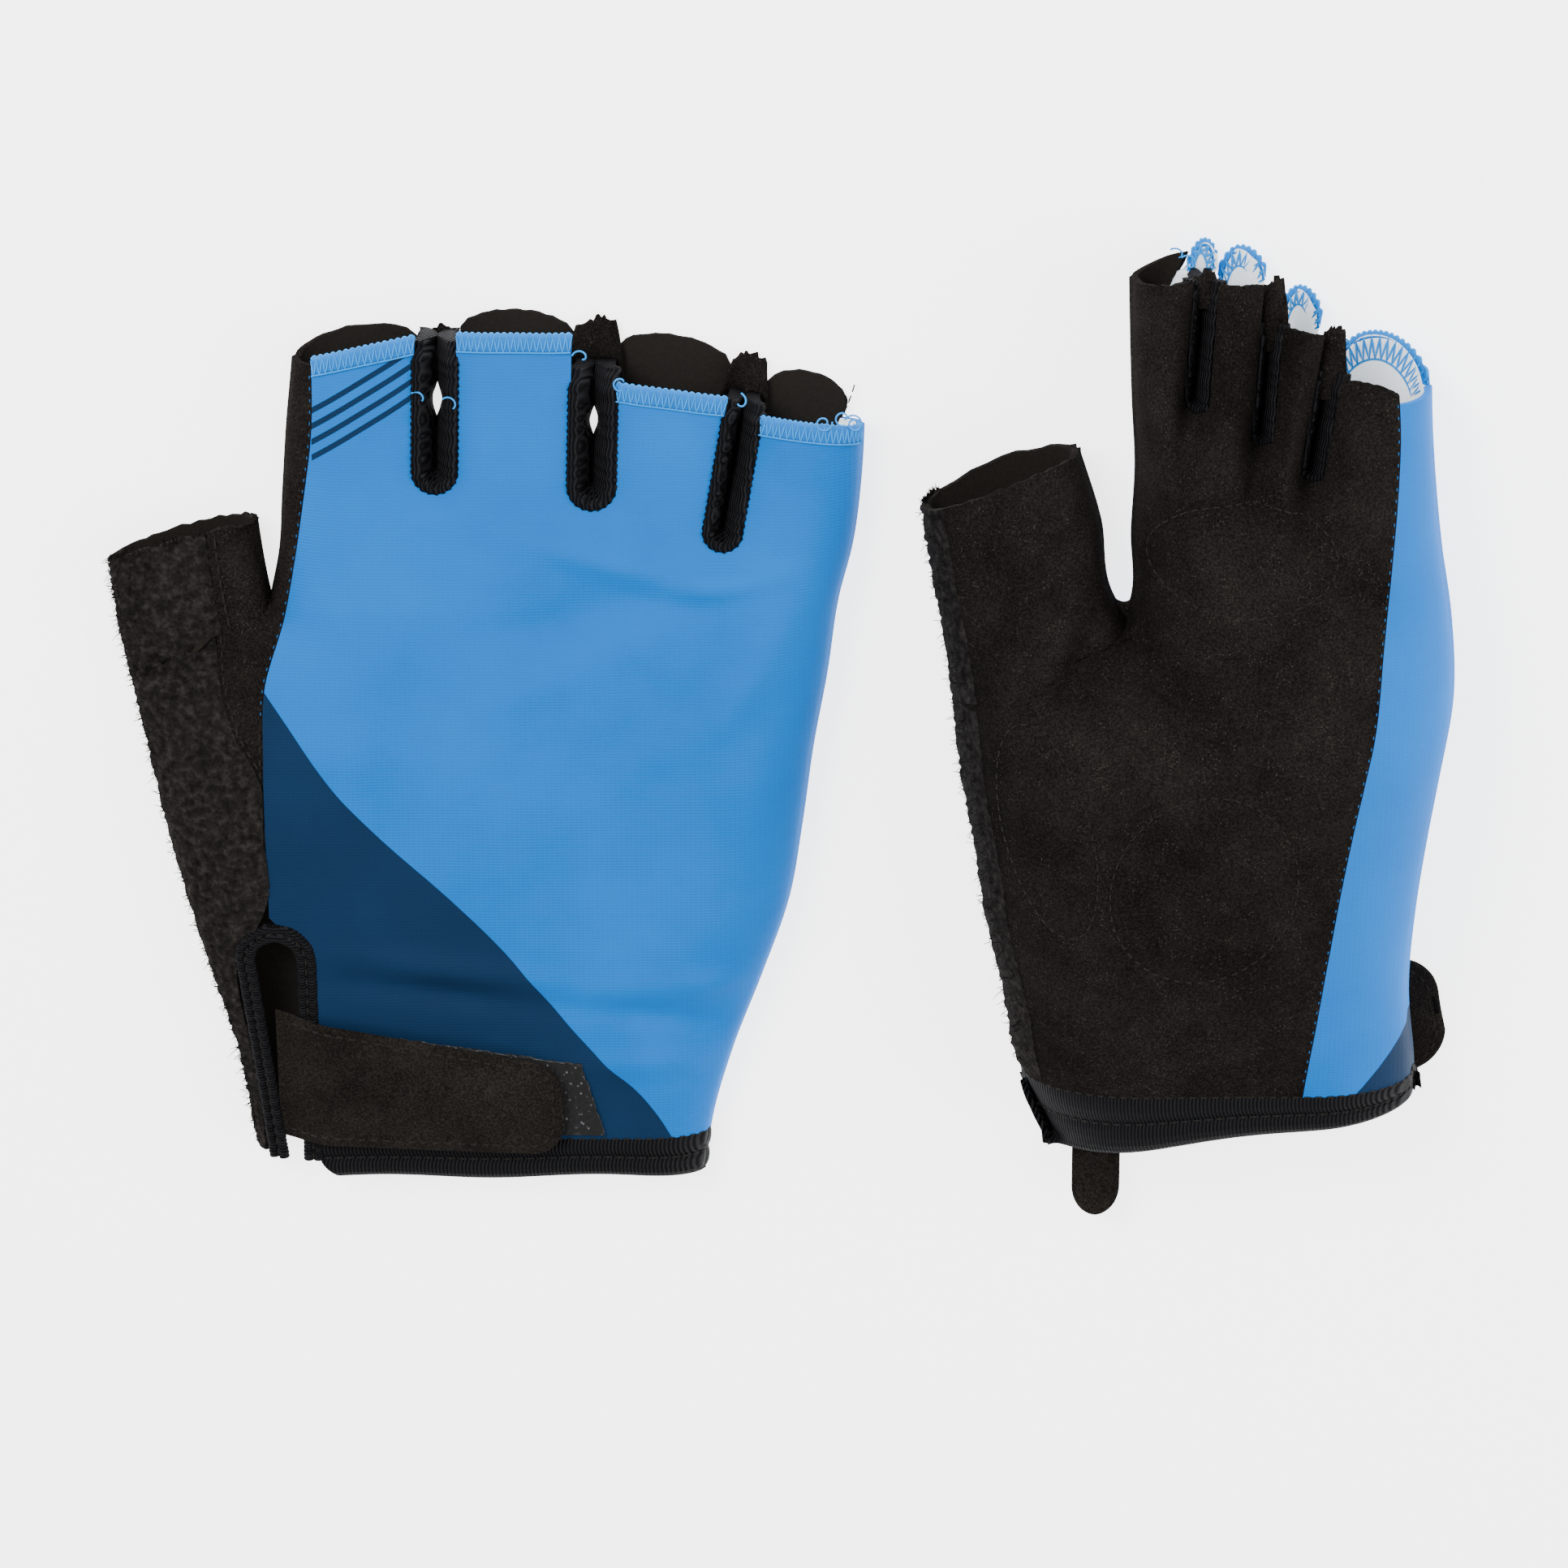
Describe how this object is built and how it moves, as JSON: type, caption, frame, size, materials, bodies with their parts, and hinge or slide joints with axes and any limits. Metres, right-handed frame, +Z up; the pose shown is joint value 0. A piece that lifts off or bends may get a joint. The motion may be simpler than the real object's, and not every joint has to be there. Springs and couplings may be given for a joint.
{
  "type": "pair of fingerless gloves",
  "caption": "Fingerless mitts with a stretch knit back, suede palm, terry thumb back, foam palm pads and a hook-and-loop wrist tab, laid out one back up and one palm up.",
  "frame": {"origin": "middle of the pair on the table surface", "axes": "+X from the right mitt to the left mitt, +Y towards the fingertips, +Z up from the table"},
  "size_m": [0.246, 0.186, 0.0396],
  "materials": {
    "blue_knit": "smooth stretch knit with a fine cross rib",
    "hem_thread": "overlock thread",
    "satin_rib": "ribbed elastic satin",
    "terry_fleece": "nubby brushed terry",
    "loop_fastener": "tangled loop pile",
    "hook_fastener": "moulded hooks",
    "foam": "closed-cell foam",
    "suede": "brushed microsuede"
  },
  "bodies": {
    "right_hand": {"right_back_hand": "blue_knit", "right_palm_hand": "suede", "right_side_fleece": "terry_fleece", "right_thumb_web": "suede", "right_wrist_binding": "satin_rib", "right_slit_binding": "satin_rib", "right_loop_patch": "loop_fastener", "right_thumb_pad": "foam", "right_heel_pad": "foam"},
    "right_fingers": {"right_back_fingers": "blue_knit", "right_palm_fingers": "suede", "right_gusset_index_middle": "satin_rib", "right_gusset_middle_ring": "satin_rib", "right_gusset_ring_little": "satin_rib", "right_hem_index": "hem_thread", "right_hem_middle": "hem_thread", "right_hem_ring": "hem_thread", "right_hem_little": "hem_thread", "right_knuckle_pad": "foam"},
    "right_thumb": {"right_thumb_fleece": "terry_fleece", "right_thumb_suede": "suede"},
    "right_tab": {"right_closure_tab": "suede", "right_hook_patch": "hook_fastener"},
    "left_hand": {"left_back_hand": "blue_knit", "left_palm_hand": "suede", "left_side_fleece": "terry_fleece", "left_thumb_web": "suede", "left_wrist_binding": "satin_rib", "left_slit_binding": "satin_rib", "left_loop_patch": "loop_fastener", "left_thumb_pad": "foam", "left_heel_pad": "foam", "left_slit_tongue": "suede"},
    "left_fingers": {"left_back_fingers": "blue_knit", "left_palm_fingers": "suede", "left_gusset_index_middle": "satin_rib", "left_gusset_middle_ring": "satin_rib", "left_gusset_ring_little": "satin_rib", "left_hem_index": "hem_thread", "left_hem_middle": "hem_thread", "left_hem_ring": "hem_thread", "left_hem_little": "hem_thread", "left_knuckle_pad": "foam"},
    "left_thumb": {"left_thumb_fleece": "terry_fleece", "left_thumb_suede": "suede"},
    "left_tab": {"left_closure_tab": "suede", "left_hook_patch": "hook_fastener"}
  },
  "joints": [
    {"name": "left_lift", "type": "slide", "parent": "right_hand", "child": "left_hand", "axis": [0, 0, 1], "range_m": [0, 0.08]},
    {"name": "right_finger_fold", "type": "hinge", "parent": "right_hand", "child": "right_fingers", "pos_m": [-0.042, 0.028, 0.0182], "axis": [1, 0, 0], "range_deg": [0, 60]},
    {"name": "right_thumb_fold", "type": "hinge", "parent": "right_hand", "child": "right_thumb", "pos_m": [-0.094, 0.027, 0.0172], "axis": [0.8944, 0.4472, 0], "range_deg": [0, 50]},
    {"name": "right_tab_peel", "type": "hinge", "parent": "right_hand", "child": "right_tab", "pos_m": [-0.0936, -0.0625, 0.0176], "axis": [0, -1, 0], "range_deg": [0, 150]},
    {"name": "left_finger_fold", "type": "hinge", "parent": "left_hand", "child": "left_fingers", "pos_m": [0.09, 0.027, 0.0378], "axis": [1, 0, 0], "range_deg": [0, 50]},
    {"name": "left_thumb_fold", "type": "hinge", "parent": "left_hand", "child": "left_thumb", "pos_m": [0.0605, 0.026, 0.0335], "axis": [0.9088, 0.4172, 0], "range_deg": [0, 50]},
    {"name": "left_tab_peel", "type": "hinge", "parent": "left_hand", "child": "left_tab", "pos_m": [0.064, -0.0575, 0.0014], "axis": [0, 1, 0], "range_deg": [0, 180]}
  ]
}
